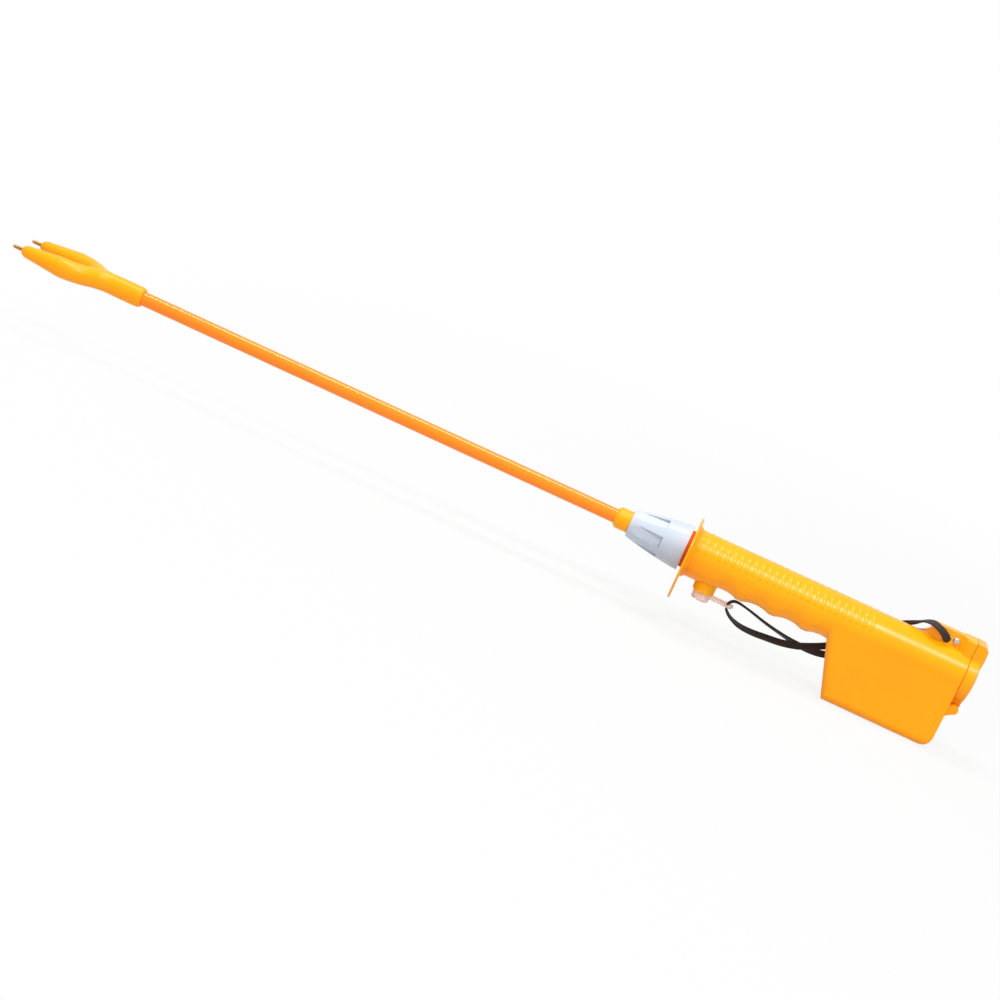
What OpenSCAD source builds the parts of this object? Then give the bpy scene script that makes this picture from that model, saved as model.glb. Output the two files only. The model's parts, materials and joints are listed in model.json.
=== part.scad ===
// Hand-held livestock prod, in millimetres, +Z up.
// The shaft line runs along X from the fork at -X to the rear door at +X.
// Modules are drawn with X = 0 on the front of the guard and Z = 0 on the shaft line.
// place() then moves them so that the origin is the middle of the box's flat underside.

/* [Shaft] */
// Outside diameter of the shaft tube
shaft_d = 12; // [11:0.5:13]
// Bore of the shaft tube
shaft_bore = 8.4; // [7.8:0.2:9]
// Length of tube seen between fork head and ferrule
shaft_show = 430.6; // [300:0.1:600]

/* [Fork head] */
// Diameter of the sleeve that takes the tube
sleeve_d = 18; // [17:0.5:20]
// Length of the sleeve
sleeve_len = 30; // [28:1:36]
// Sleeve's rear end to the horn tips
fork_len = 104; // [98:1:120]
// Distance between the two horn axes
horn_gap = 40; // [36:1:46]
// Length in which a horn swings out to its own axis
bend_len = 43; // [30:1:44]
// Horn radius where it leaves the bend
horn_root_r = 8.6; // [7.6:0.1:8.7]
// Horn radius at its rounded tip
horn_tip_r = 5.4; // [4.8:0.1:6]
// Diameter of an electrode pin
pin_d = 3.2; // [2.6:0.1:4]
// Length of pin standing out of the horn
pin_show = 8.9; // [6:0.1:14]

/* [Coupling] */
// Diameter of the ferrule on the shaft
ferrule_d = 18; // [17.5:0.1:18.2]
// Length of ferrule seen ahead of the nut
ferrule_show = 13; // [8:0.5:20]
// Length of the nut
nut_len = 49; // [48:0.5:56]
// Diameter of the nut at its nose
nut_nose_d = 23.2; // [22.8:0.1:25]
// Diameter of the nut at its rear rim
nut_rim_d = 38.3; // [37:0.1:41]
// How fast the nut's outline fills out from the nose
nut_bulge = 1.4; // [1.2:0.05:1.6]
// Number of finger flutes around the nut
flutes = 6; // [5:1:8]
// Length of a flute
flute_len = 27.5; // [20:0.5:28]
// Diameter of the threaded neck
neck_d = 23; // [22.6:0.1:23.2]
// Forward travel of nut and collet in one turn
thread_lead = 2; // [1:0.25:2.5]
// Thickness of the seal ring behind the nut
seal_t = 2.6; // [2:0.1:4]
// Outside diameter of the seal ring
seal_d = 31.3; // [28:0.1:36]

/* [Guard] */
// Diameter of the guard plate
guard_d = 69.6; // [60:0.2:80]
// Thickness of the guard plate
guard_t = 2; // [1.6:0.1:3]
// How far the plate's centre sits below the shaft line
guard_drop = 7.5; // [4:0.5:9]

/* [Grip] */
// Diameter of the grip tube
grip_d = 40; // [40:0.5:42]
// How far the grip's axis sits below the shaft line
grip_drop = 0.6; // [0:0.1:1.2]
// Guard's rear face to the housing's rear face
body_len = 236.8; // [234:0.2:250]
// Wall thickness of the housing
wall = 2.8; // [2.4:0.1:3]
// First finger groove, from the guard's front
finger_first = 39.2; // [38:0.2:41]
// Pitch of the finger grooves
finger_pitch = 28.4; // [27.6:0.2:29]
// Depth of a finger groove
finger_depth = 2.5; // [1.6:0.1:2.6]
// Pitch of the ribs over the top of the grip
rib_pitch = 6; // [5:0.5:6]
// Number of ribs
rib_count = 26; // [10:1:28]
// Height of a rib
rib_h = 0.3; // [0.2:0.05:0.8]
// Height above the grip axis where the ribs end
rib_end = 7.6; // [6:0.2:12]

/* [Battery box] */
// Shaft line to the flat underside of the box
box_depth = 63.4; // [62:0.2:72]
// Width of the box
box_w = 39.6; // [39:0.2:39.6]
// Top of the slanted front, from the guard's front
box_front = 132.3; // [131:0.1:134]
// Foot of the slanted front, from the guard's front
box_foot = 145.8; // [144:0.1:148]
// Radius of the bottom side edges
box_edge_r = 8; // [4:0.5:9]
// Radius of the heel at the rear
box_heel_r = 12; // [4:0.5:13]
// Radius of the toe at the front
box_toe_r = 3; // [2:0.5:4]

/* [Strap lug] */
// Shaft line to the top of the lug
lug_h = 31.2; // [30:0.1:34]
// Length of the lug along the grip
lug_len = 48.4; // [46:0.2:56]
// Thickness of the lug's web
lug_web = 8; // [7:0.2:9]
// Width of the block at the lug's rear
lug_block = 18.4; // [17:0.2:20]
// Diameter of the strap hole
strap_hole_d = 7.4; // [7.2:0.1:8]

/* [Trigger] */
// Trigger axis, from the guard's front
trigger_x = 24.5; // [24:0.1:25]
// Diameter of the collar where it leaves the grip
collar_d = 18.7; // [18:0.1:19]
// Shaft line to the collar's lip
collar_drop = 27; // [26.5:0.1:28]
// Diameter of the button
button_d = 12.4; // [11:0.1:12.6]
// Travel of the button
button_travel = 2.4; // [1:0.1:2.4]

/* [Safety cap] */
// Diameter of the cap
cap_d = 15; // [14.8:0.1:16.5]
// Height of the cap
cap_h = 6.7; // [6.2:0.1:8]
// Trigger axis to the end of the arm
arm_len = 27; // [25.5:0.1:28]
// Width of the arm
arm_w = 8; // [7:0.1:9]
// Thickness of the arm
arm_t = 2.4; // [2:0.1:3]

/* [Rear door] */
// Thickness of the door's block
door_t = 10.4; // [9:0.1:11]
// Rise of the domed round part beyond the block
dome_rise = 1.1; // [0.5:0.1:2]
// Shaft line down to the hinge pin
hinge_drop = 25.6; // [25:0.1:29]
// Radius of the hinge barrel
hinge_r = 4; // [3.6:0.1:4.4]
// Diameter of the hinge pin
hinge_pin_d = 2.4; // [2:0.1:3]

/* [Batteries] */
// Diameter of a cell
cell_d = 26.2; // [25:0.1:26.2]
// Length of a cell with its nub
cell_len = 50; // [48:0.1:50]
// Number of cells
cell_count = 3; // [2:1:3]

/* [Wrist strap] */
// Width of the flat strap
strap_w = 6; // [5:0.1:6.2]
// Thickness of the strap
strap_t = 2; // [1.4:0.1:2.2]

/* [Clearances] */
// Gap between pieces that move past each other
slide_gap = 0.3; // [0.3:0.05:0.4]
// Radial gap of a running or glued fit
fit_gap = 0.05; // [0.03:0.01:0.08]

/* [Hidden] */
$fn = 64;
seal_x = -seal_t;
nut_x = seal_x - nut_len;
ferrule_x = nut_x - ferrule_show;
sleeve_x = ferrule_x - shaft_show;
horn_x = sleeve_x - fork_len;
pin_x = horn_x - pin_show;
bend_x = sleeve_x - sleeve_len + 4;
bend_turn = 2 * atan(horn_gap / 2 / bend_len);
bend_r = bend_len / (2 * sin(bend_turn));
ring_pitch = 0.9;
pin_rings = floor((pin_show - 2) / ring_pitch);
lead_r = 1.2;
lead_y = 2.2;
lead_turn = atan((horn_gap / 2 - lead_y) / bend_len);
lead_run = bend_len / cos(lead_turn);
socket_x = seal_x - 26.4;
ferrule_end = socket_x + 17.7;
plug_y = 4.5;
plug_r = 1.9;
collet_x = nut_x + 2.8;
collet_end = socket_x - 1.2;
grip_r = grip_d / 2;
grip_z = -grip_drop;
rear_x = guard_t + body_len;
front_in = guard_t + wall;
rear_in = rear_x - wall;
cav_r = grip_r - wall;
floor_z = grip_z - grip_r + finger_depth + 3.5;
box_top = floor_z - wall;
box_half = box_w / 2;
box_lean = atan((box_foot - box_front) / (box_depth - 24));
base_x = (box_foot + box_toe_r + rear_x - box_heel_r) / 2;
groove_r = (pow(finger_pitch * 0.42, 2) + pow(finger_depth, 2)) / (2 * finger_depth);
sleeve_wall = 0.5;
cell_gap = 0.2;
tube_r = cell_d / 2 + cell_gap + sleeve_wall;
cells_end = rear_x - 4.7;
cells_x = cells_end - cell_count * cell_len;
stop_x = cells_x - 4.4;
lug_x = rear_x - lug_len;
lug_hole_x = rear_x - 23.7;
lug_hole_z = lug_h - 7.9;
lug_screw_x = rear_x - 15.6;
lug_screw_z = lug_h - 6.8;
bracket_z = floor_z + 9.3;
flange_t = 1.9;
door_x = rear_x + slide_gap;
hinge_x = rear_x + hinge_r + 1.1;
hinge_half = 8;
ear_t = 5;
ear_in = hinge_half + slide_gap + 0.1;
peg_z = lug_h - 7;
dome_drop = 2.9;
eye_x = trigger_x + arm_len - 4.4;
cap_top = -collar_drop - slide_gap;
board_z = -box_depth + 7.4;
screw_spots = [[finger_first + 18.8, 0], [box_front + 16.7, floor_z - 11.5], [rear_x - 9.2, floor_z - 10.5],
  [box_foot + 6.8, 8 - box_depth], [rear_x - 9.8, 10 - box_depth]];
board_x = box_foot + 11.2;
board_len = rear_x - 15.2 - board_x;
post_spots = [for (x = [board_x + 3, board_x + board_len - 3]) for (y = [-13, 13]) [x, y]];

// Placing and plain shapes

module place() translate([-base_x, 0, box_depth]) children();

module rod_x(x0, x1, r) translate([x0, 0, 0]) rotate([0, 90, 0]) cylinder(h = x1 - x0, r = r);

module rod_y(y0, y1, r) translate([0, y0, 0]) rotate([-90, 0, 0]) cylinder(h = y1 - y0, r = r);

module lathe_x(points) rotate([0, 90, 0]) rotate_extrude() polygon(points);

module slab_y(width) rotate([90, 0, 0]) linear_extrude(height = width, center = true) children();

module bar_x(x0, x1) translate([x0, 0, 0]) rotate([90, 0, 90]) linear_extrude(height = x1 - x0) children();

module block(low, high) translate(low) cube(high - low);

// Swept tubes

function unit(v) = v / norm(v);

function curve_at(p, i, t) =
  let (a = p[max(i - 1, 0)], b = p[i], c = p[i + 1], d = p[min(i + 2, len(p) - 1)])
  0.5 * (2 * b + (c - a) * t + (2 * a - 5 * b + 4 * c - d) * t * t + (3 * b - a - 3 * c + d) * t * t * t);

function smooth_route(p, n) =
  concat([for (i = [0 : len(p) - 2]) for (k = [0 : n - 1]) curve_at(p, i, k / n)], [p[len(p) - 1]]);

function blend_dirs(d, n) =
  concat([for (i = [0 : len(d) - 2]) for (k = [0 : n - 1]) d[i] * (1 - k / n) + d[i + 1] * k / n],
    [d[len(d) - 1]]);

function heading(p, i) = unit(p[min(i + 1, len(p) - 1)] - p[max(i - 1, 0)]);

function ring_at(c, along, wide, section) =
  let (n = unit(cross(along, wide)), b = unit(cross(n, along)))
  [for (q = section) c + b * q[0] + n * q[1]];

module sweep(route, dirs, section) {
  n = len(section);
  m = len(route);
  points = [for (i = [0 : m - 1]) each ring_at(route[i], heading(route, i), dirs[i], section)];
  sides = [for (i = [0 : m - 2]) for (k = [0 : n - 1]) each [
    [i * n + k, (i + 1) * n + k, i * n + (k + 1) % n],
    [i * n + (k + 1) % n, (i + 1) * n + k, (i + 1) * n + (k + 1) % n]]];
  caps = [[for (k = [0 : n - 1]) k], [for (k = [n - 1 : -1 : 0]) (m - 1) * n + k]];
  polyhedron(points, concat(sides, caps), convexity = 10);
}

function round_section(r, n) = [for (k = [0 : n - 1]) r * [cos(360 * k / n), sin(360 * k / n)]];

module wire(route, r) {
  path = smooth_route(route, 3);
  sweep(path, [for (p = path) [0.11, 0.97, 0.23]], round_section(r, 8));
}

// Shaft and fork

module horn_bend(x, y, start, turn) translate([x, y, 0])
  rotate([0, 0, start])
  rotate_extrude(angle = turn)
  translate([bend_r, 0])
  circle(horn_root_r, $fn = 48);

module horn_band(x, y, turn) translate([x, y, 0])
  rotate([0, 0, turn])
  rod_x(-0.6, 0.6, horn_root_r + 0.25);

module horn() {
  nose = 3;
  trim = 0.6;
  root_x = bend_x - bend_len;
  horn_bend(bend_x, bend_r, trim - 90 - bend_turn, bend_turn - trim);
  horn_band(bend_x - bend_len / 2, horn_gap / 4, -bend_turn);
  horn_bend(root_x, horn_gap / 2 - bend_r, trim + 90 - bend_turn, bend_turn - 2 * trim);
  horn_band(root_x, horn_gap / 2, 0);
  translate([0, horn_gap / 2, 0])
    lathe_x(concat(
      [[0, root_x - 0.2], [horn_root_r, root_x - 0.2]],
      [for (a = [90 : -18 : 0]) [horn_tip_r - nose * (1 - sin(a)), horn_x + nose * (1 - cos(a))]],
      [[0, horn_x]]));
}

module fork_head() color([0.98, 0.66, 0.05]) place() difference() {
  union() {
    lathe_x([[0, bend_x - 5], [sleeve_d / 2 - 2.5, bend_x - 5], [sleeve_d / 2, bend_x - 2],
      [sleeve_d / 2, sleeve_x - 1], [sleeve_d / 2 - 1, sleeve_x], [0, sleeve_x]]);
    for (s = [0, 1]) mirror([0, s, 0]) intersection() {
      horn();
      block([horn_x - 1, 0, -20], [bend_x + 1, 60, 20]);
    }
  }
  rod_x(bend_x + 2, sleeve_x + 1, shaft_d / 2 + fit_gap);
  for (s = [0, 1]) mirror([0, s, 0]) {
    translate([bend_x, lead_y, 0]) rotate([0, 0, -lead_turn]) rod_x(-lead_run - 1, 0.5, lead_r + 0.3);
    translate([0, lead_y, 0]) rod_x(bend_x - 0.6, bend_x + 3, lead_r + 0.6);
    translate([0, horn_gap / 2, 0]) rod_x(horn_x - 1, bend_x - bend_len + 1.5, pin_d / 2 + fit_gap);
  }
}

module electrode_pins() color([0.72, 0.5, 0.25]) place() for (s = [-1, 1])
  translate([0, s * horn_gap / 2, 0])
  lathe_x(concat(
    [[0, pin_x], [pin_d * 0.2, pin_x + 0.1], [pin_d * 0.34, pin_x + 0.6], [pin_d * 0.42, pin_x + 1.4]],
    [for (i = [0 : pin_rings - 1]) let (x = pin_x + 1.5 + i * ring_pitch) each [
      [pin_d * 0.41, x], [pin_d / 2, x + ring_pitch * 0.35], [pin_d / 2, x + ring_pitch * 0.6],
      [pin_d * 0.41, x + ring_pitch * 0.95]]],
    [[pin_d / 2, horn_x - 0.2], [pin_d / 2, bend_x - bend_len - 8], [0, bend_x - bend_len - 8]]));

module shaft_tube() color([0.95, 0.45, 0.04]) place() difference() {
  rod_x(bend_x + 2.2, ferrule_end - 12, shaft_d / 2);
  rod_x(bend_x, ferrule_end, shaft_bore / 2);
}

module shaft_leads() color([0.7, 0.08, 0.06]) place() for (s = [-1, 1]) {
  route = [[ferrule_end - 11.8, s * lead_y, 0], [bend_x, s * lead_y, 0], [bend_x - bend_len, s * horn_gap / 2, 0],
    [bend_x - bend_len - 7.8, s * horn_gap / 2, 0]];
  sweep(route, [for (p = route) [0, 0, 1]], round_section(lead_r, 10));
}

module shaft_ferrule() color([0.98, 0.7, 0.05]) place() difference() {
  lathe_x([[0, ferrule_x], [ferrule_d / 2 - 2, ferrule_x], [ferrule_d / 2, ferrule_x + 2.4],
    [ferrule_d / 2, ferrule_end - 1], [ferrule_d / 2 - 1, ferrule_end], [0, ferrule_end]]);
  rod_x(ferrule_x - 1, ferrule_end - 11.5, shaft_d / 2 + fit_gap);
  for (s = [-1, 1]) translate([0, s * plug_y, 0]) rod_x(ferrule_end - 8, ferrule_end + 1, plug_r + fit_gap);
  for (s = [-1, 1]) translate([0, s * 2.2, 0]) rod_x(ferrule_end - 12, ferrule_end - 7.9, 1);
}

module plug_pins() color([0.85, 0.65, 0.3]) place() for (s = [-1, 1])
  translate([0, s * plug_y, 0])
  lathe_x([[0, ferrule_end - 7.8], [plug_r, ferrule_end - 7.8], [plug_r, ferrule_end + 12],
    [plug_r - 1, ferrule_end + 13.2], [0, ferrule_end + 13.2]]);

// Coupling

module socket_contacts() color([0.85, 0.65, 0.3]) place() for (s = [-1, 1])
  translate([0, s * plug_y, 0])
  difference() {
    rod_x(ferrule_end + slide_gap + 0.1, front_in + 6, 3);
    rod_x(ferrule_end - 1, ferrule_end + 14, plug_r + fit_gap);
  }

module socket_body() color([0.98, 0.66, 0.03]) place() difference() {
  lathe_x([[0, socket_x], [neck_d / 2 - 1, socket_x], [neck_d / 2, socket_x + 1], [neck_d / 2, front_in + 0.05],
    [-floor_z - slide_gap, front_in + 0.05], [-floor_z - slide_gap, front_in + 3], [0, front_in + 3]]);
  rod_x(socket_x - 1, ferrule_end + slide_gap, ferrule_d / 2 + slide_gap);
  for (s = [-1, 1]) translate([0, s * plug_y, 0]) rod_x(ferrule_end, front_in + 4, 3 + fit_gap);
}

module collet() color([0.86, 0.6, 0.1]) place() difference() {
  lathe_x([[ferrule_d / 2 + fit_gap, collet_x], [ferrule_d / 2 + 1, collet_x], [neck_d / 2 - 0.2, collet_x + 9],
    [neck_d / 2 - 0.2, collet_end], [ferrule_d / 2 + fit_gap, collet_end]]);
  for (a = [0 : 90 : 270]) rotate([a + 45, 0, 0]) block([collet_x - 1, 0, -0.6], [collet_end - 4, 20, 0.6]);
}

function nut_r(t) = (nut_nose_d + (nut_rim_d - nut_nose_d) * (1 - pow(1 - t, nut_bulge))) / 2;

module nut_flute() {
  start = 2;
  floor_rise = 2.3;
  wide = nut_rim_d * 0.127;
  translate([nut_x + start, 0, nut_r(start / nut_len)])
    rotate([0, -atan(floor_rise / flute_len), 0])
    linear_extrude(height = 9)
    polygon([[0, -wide * 0.88], [flute_len, -wide], [flute_len, wide], [0, wide * 0.88]]);
  translate([nut_x + start, 0, nut_r((flute_len + 8) / nut_len) - 0.7])
    rotate([0, -2, 0])
    block([flute_len - 1, -wide * 0.55, 0], [flute_len + 8.9, wide * 0.55, 6]);
}

module coupling_nut() color([0.84, 0.86, 0.9]) place() difference() {
  lathe_x(concat(
    [[0, nut_x], [nut_r(0) - 0.8, nut_x]],
    [for (k = [0 : 10]) [nut_r(k / 10), nut_x + (k == 0 ? 0.8 : nut_len * k / 10)]],
    [[0, seal_x]]));
  rod_x(nut_x - 1, nut_x + 3, ferrule_d / 2 + slide_gap);
  lathe_x([[0, collet_x - slide_gap], [ferrule_d / 2 + 1 + slide_gap, collet_x - slide_gap],
    [neck_d / 2 + slide_gap, collet_x + 9 - slide_gap], [neck_d / 2 + slide_gap, seal_x + 1], [0, seal_x + 1]]);
  for (i = [0 : flutes - 1]) rotate([92 + 360 / flutes * i, 0, 0]) nut_flute();
}

module nut_seal() color([0.86, 0.2, 0.05]) place() difference() {
  rod_x(seal_x + 0.1, -0.02, seal_d / 2);
  rod_x(seal_x - 1, 1, neck_d / 2 + fit_gap);
}

module hand_guard() color([0.99, 0.68, 0.1]) place() difference() {
  union() {
    translate([0, 0, -guard_drop])
      lathe_x([[0, 0], [guard_d / 2 - 0.3, 0], [guard_d / 2, 0.3], [guard_d / 2, guard_t - 0.4],
        [guard_d / 2 - 0.3, guard_t - 0.1], [grip_r + 9, guard_t - 0.02], [0, guard_t - 0.02]]);
    translate([0, 0, grip_z])
      lathe_x([[grip_r + 0.1, guard_t - 1], [grip_r + 4, guard_t - 1], [grip_r + 2, guard_t + 0.7],
        [grip_r + 0.9, guard_t + 2.8], [grip_r + 0.1, guard_t + 2.8]]);
  }
  rod_x(-1, guard_t + 1, neck_d / 2 + fit_gap);
}

// Housing

module box_side(inset, top) {
  low = -box_depth + inset;
  back = rear_x - inset;
  slant = inset / cos(box_lean);
  heel = box_heel_r - inset;
  toe = max(box_toe_r - inset, 0.5);
  lean = tan(box_lean);
  front_top = box_front - (24 + top) * lean + slant;
  front_low = box_foot - inset * lean + slant;
  toe_x = front_low + toe * tan(45 - box_lean / 2);
  difference() {
    polygon([[front_top, top], [front_low, low], [back, low], [back, top]]);
    difference() {
      translate([back - heel, low - 1]) square([heel + 1, heel + 1]);
      translate([back - heel, low + heel]) circle(heel);
    }
    difference() {
      polygon([[front_low - 3, low - 1], [toe_x, low - 1], [toe_x, low + toe * 0.2],
        [front_low - 3 , low + toe]]);
      translate([toe_x, low + toe]) circle(toe);
    }
  }
}

module box_section(inset, top) {
  half = box_half - inset;
  low = -box_depth + inset;
  r = box_edge_r - inset * 0.8;
  difference() {
    translate([-half, low]) square([2 * half, top - low]);
    for (s = [0, 1]) mirror([s, 0]) difference() {
      translate([half - r, low - 1]) square([r + 1, r + 1]);
      translate([half - r, low + r]) circle(r);
    }
  }
}

module box_plan(inset) {
  bite = 0.15;
  r = max(box_edge_r * 0.85 - inset, 0.5);
  half = box_half - inset;
  difference() {
    translate([inset - 5, -half - 1]) square([rear_x, 2 * half + 2]);
    for (s = [0, 1]) mirror([0, s]) translate([inset + r - bite, half - r + bite]) difference() {
      translate([-r - 6, 0]) square([r + 6, r + 2]);
      circle(r);
    }
  }
}

module box_shape(inset, top) intersection() {
  slab_y(box_w + 2) box_side(inset, top);
  bar_x(box_front - 30, rear_x + 1) box_section(inset, top);
  translate([box_front, 0, -24]) rotate([0, -box_lean, 0]) linear_extrude(height = 200, center = true) box_plan(inset);
}

module finger_grooves() for (i = [0 : 3])
  translate([finger_first + i * finger_pitch, 0, grip_z + finger_depth + 0.1])
  rotate([0, 90, 0])
  rotate_extrude()
  translate([grip_r + 0.1 + groove_r, 0])
  circle(groove_r);

module ribs() intersection() {
  translate([0, 0, grip_z])
    lathe_x(concat(
      [[cav_r + 1, front_in], [grip_r - 0.05, front_in]],
      [for (i = [0 : rib_count - 1]) each [
        [grip_r - 0.05, front_in + 0.7 + i * rib_pitch], [grip_r + rib_h, front_in + 1.9 + i * rib_pitch],
        [grip_r + rib_h, front_in + 3.1 + i * rib_pitch], [grip_r - 0.05, front_in + 4.3 + i * rib_pitch]]],
      [[grip_r - 0.05, front_in + 2 + rib_count * rib_pitch], [cav_r + 1, front_in + 2 + rib_count * rib_pitch]]));
  block([0, -40, grip_z + rib_end], [rear_x, 40, 40]);
}

module lug() {
  slab_y(lug_web) difference() {
    translate([lug_x, 12]) square([lug_len, lug_h - 12]);
    translate([lug_x - 0.4, lug_h]) circle(lug_h - grip_z - grip_r + 0.3);
  }
  difference() {
    linear_extrude(height = lug_h) polygon([[rear_x, -lug_block / 2], [rear_x, lug_block / 2],
      [rear_x - 7.6, lug_block / 2], [rear_x - 12.4, lug_web / 2 - 0.3],
      [rear_x - 12.4, 0.3 - lug_web / 2], [rear_x - 7.6, -lug_block / 2]]);
    for (s = [0, 1]) mirror([0, s, 0]) translate([rear_x - 20, lug_block / 2, lug_h])
      rotate([45, 0, 0]) translate([0, -1, -1]) cube([30, 2, 2]);
  }
}

module hinge_ears() for (s = [-1, 1]) translate([0, s * (ear_in + ear_t / 2), 0]) {
  translate([hinge_x, 0, -hinge_drop]) rod_y(-ear_t / 2, ear_t / 2, hinge_r);
  slab_y(ear_t) polygon([[rear_x - 1, -hinge_drop + hinge_r * 0.6], [hinge_x, -hinge_drop + hinge_r * 0.6],
    [hinge_x + hinge_r * 0.5, -hinge_drop - hinge_r * 0.8], [rear_x - 1, -hinge_drop - hinge_r - 4.5]]);
}

module housing_outer() {
  difference() {
    translate([0, 0, grip_z]) rod_x(guard_t, rear_x, grip_r);
    finger_grooves();
  }
  box_shape(0, grip_z - 1);
  lug();
  ribs();
  hinge_ears();
}

module housing_hollow() {
  difference() {
    intersection() {
      translate([0, 0, grip_z]) rod_x(front_in, rear_in, cav_r);
      block([0, -30, floor_z], [rear_x, 30, 30]);
    }
    difference() {
      block([stop_x, -30, -30], [stop_x + 2.4, 30, 30]);
      for (s = [-1, 1]) translate([0, s * 10.5, 0]) block([stop_x - 1, -2.6, floor_z - 1], [stop_x + 4, 2.6, -9.6]);
    }
  }
  difference() {
    box_shape(wall, box_top);
    for (p = post_spots)
      translate([p[0], p[1], -box_depth]) cylinder(h = 7.2, r = 2.6);
  }
  rod_x(0, front_in + 1, neck_d / 2 + fit_gap);
  translate([0, 0, grip_z]) rod_x(rear_in - 1, rear_x + 1, tube_r + 0.25);
  translate([trigger_x, 0, -30]) cylinder(h = 20, r = collar_d / 2 + fit_gap);
  block([trigger_x - 12.2, -cav_r - 0.3, bracket_z - 0.1], [trigger_x + 12.2, cav_r + 0.3, bracket_z + 1.7]);
  for (s = [-1, 1]) translate([box_front + 8.7, s * 10.4, box_top - 1]) cylinder(h = wall + 6, r = 3.4);
}

module screw_bosses() intersection() {
  for (p = screw_spots) translate([p[0], 0, p[1]]) rod_y(-18.6, 18.6, 3.8);
  union() {
    translate([0, 0, grip_z]) rod_x(front_in, rear_x, grip_r - 0.5);
    box_shape(0.6, grip_z - 1);
  }
}

module housing_holes() {
  for (p = screw_spots) translate([p[0], 0, p[1]]) {
    rod_y(-13, 1, 1.3);
    rod_y(0, 20, 1.6);
    rod_y(13.4, 22, 3.2);
  }
  translate([lug_hole_x, 0, lug_hole_z]) rod_y(-10, 10, strap_hole_d / 2);
  translate([lug_screw_x, 0, lug_screw_z]) rod_y(-10, lug_web / 2 - 0.8, 1.5);
  translate([0, 0, peg_z]) rod_x(rear_x - 4.6, rear_x + 1, 2.8);
  translate([hinge_x, 0, -hinge_drop]) rod_y(-ear_in - ear_t + 1.2, 20, hinge_pin_d / 2 + fit_gap);
  for (p = post_spots)
    translate([p[0], p[1], -box_depth + 3]) cylinder(h = 6, r = 1);
}

module housing_solid() difference() {
  union() {
    difference() {
      housing_outer();
      housing_hollow();
    }
    screw_bosses();
  }
  housing_holes();
}

module housing_left() color([1, 0.64, 0.02]) place() intersection() {
  housing_solid();
  block([-5, -60, -100], [rear_x + 30, -0.01, 60]);
}

module housing_right() color([1, 0.64, 0.02]) place() intersection() {
  housing_solid();
  block([-5, 0.01, -100], [rear_x + 30, 60, 60]);
}

module housing_screws() color([0.75, 0.75, 0.77]) place() for (p = screw_spots)
  translate([p[0], 0, p[1]]) difference() {
    union() {
      rod_y(-12, 13.6, 1.25);
      rod_y(13.5, 15.4, 2.9);
    }
    translate([-2, 14.8, -0.4]) cube([4, 2, 0.8]);
    translate([-0.4, 14.8, -2]) cube([0.8, 2, 4]);
  }

module lug_screw() color([0.78, 0.78, 0.8]) place() translate([lug_screw_x, 0, lug_screw_z]) difference() {
  union() {
    rod_y(-lug_web / 2 - 0.1, lug_web / 2 - 1, 1.45);
    rotate([90, 0, 0]) rotate_extrude() polygon([[0, lug_web / 2 + 0.02], [2.9, lug_web / 2 + 0.02],
      [2.9, lug_web / 2 + 1], [2.2, lug_web / 2 + 1.8], [1.2, lug_web / 2 + 2.2], [0, lug_web / 2 + 2.2]]);
  }
  translate([-1.8, -lug_web / 2 - 3, -0.4]) cube([3.6, 1.9, 0.8]);
  translate([-0.4, -lug_web / 2 - 3, -1.8]) cube([0.8, 1.9, 3.6]);
}

// Trigger

module turned_z(points) translate([trigger_x, 0, 0]) rotate_extrude() polygon(points);

module trigger_collar() color([0.98, 0.5, 0.02]) place() {
  lip = -collar_drop;
  r = collar_d / 2;
  b = button_d / 2 + slide_gap;
  turned_z([[b, lip + 0.5], [b + 0.5, lip], [r - 1.2, lip], [r - 0.5, lip + 0.4], [r - 0.2, lip + 1.1],
    [r, grip_z - grip_r + 0.5], [r, floor_z + 0.05], [r + 0.5, floor_z + 0.05], [r + 0.5, floor_z + flange_t],
    [b, floor_z + flange_t]]);
}

module trigger_button() color([0.9, 0.3, 0.04]) place() {
  r = button_d / 2;
  low = -collar_drop - 2.2;
  rest = floor_z + flange_t + slide_gap;
  turned_z([[0, low], [r * 0.55, low + 0.2], [r * 0.88, low + 1.1], [r, low + 2.4], [r, rest], [r + 1.8, rest],
    [r + 1.8, rest + 1.6], [2.4, rest + 1.6], [2.4, bracket_z - 1], [0, bracket_z - 1]]);
}

module trigger_spring() color([0.7, 0.7, 0.72]) place() translate([trigger_x, 0, 0]) {
  low = floor_z + flange_t + slide_gap + 2.1;
  high = bracket_z - 0.5;
  turns = 3;
  path = [for (k = [0 : 8 * turns]) [4.2 * cos(45 * k), 4.2 * sin(45 * k), low + (high - low) * k / (8 * turns)]];
  sweep(path, [for (p = path) [0, 0, 1]], round_section(0.42, 6));
}

module switch_plunger() color([0.15, 0.15, 0.16]) place()
  translate([trigger_x, 0, bracket_z - 0.9]) cylinder(h = 4.2, r = 1.5);

module trigger_switch() color([0.12, 0.12, 0.14]) place() difference() {
  union() {
    block([trigger_x - 6.5, -5, bracket_z + 1.65], [trigger_x + 6.5, 5, bracket_z + 8.6]);
    for (s = [-1, 1]) block([trigger_x + 6, s * 2.5 - 1, bracket_z + 4], [trigger_x + 9, s * 2.5 + 1, bracket_z + 4.5]);
  }
  translate([trigger_x, 0, bracket_z]) cylinder(h = 6.6, r = 1.5 + slide_gap);
}

module switch_bracket() color([0.9, 0.9, 0.88]) place() difference() {
  intersection() {
    block([trigger_x - 12, -cav_r - 0.2, bracket_z], [trigger_x + 12, cav_r + 0.2, bracket_z + 1.6]);
    translate([0, 0, grip_z]) rod_x(0, 100, cav_r + 0.25);
  }
  translate([trigger_x, 0, bracket_z - 1]) cylinder(h = 4, r = 3);
}

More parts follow.
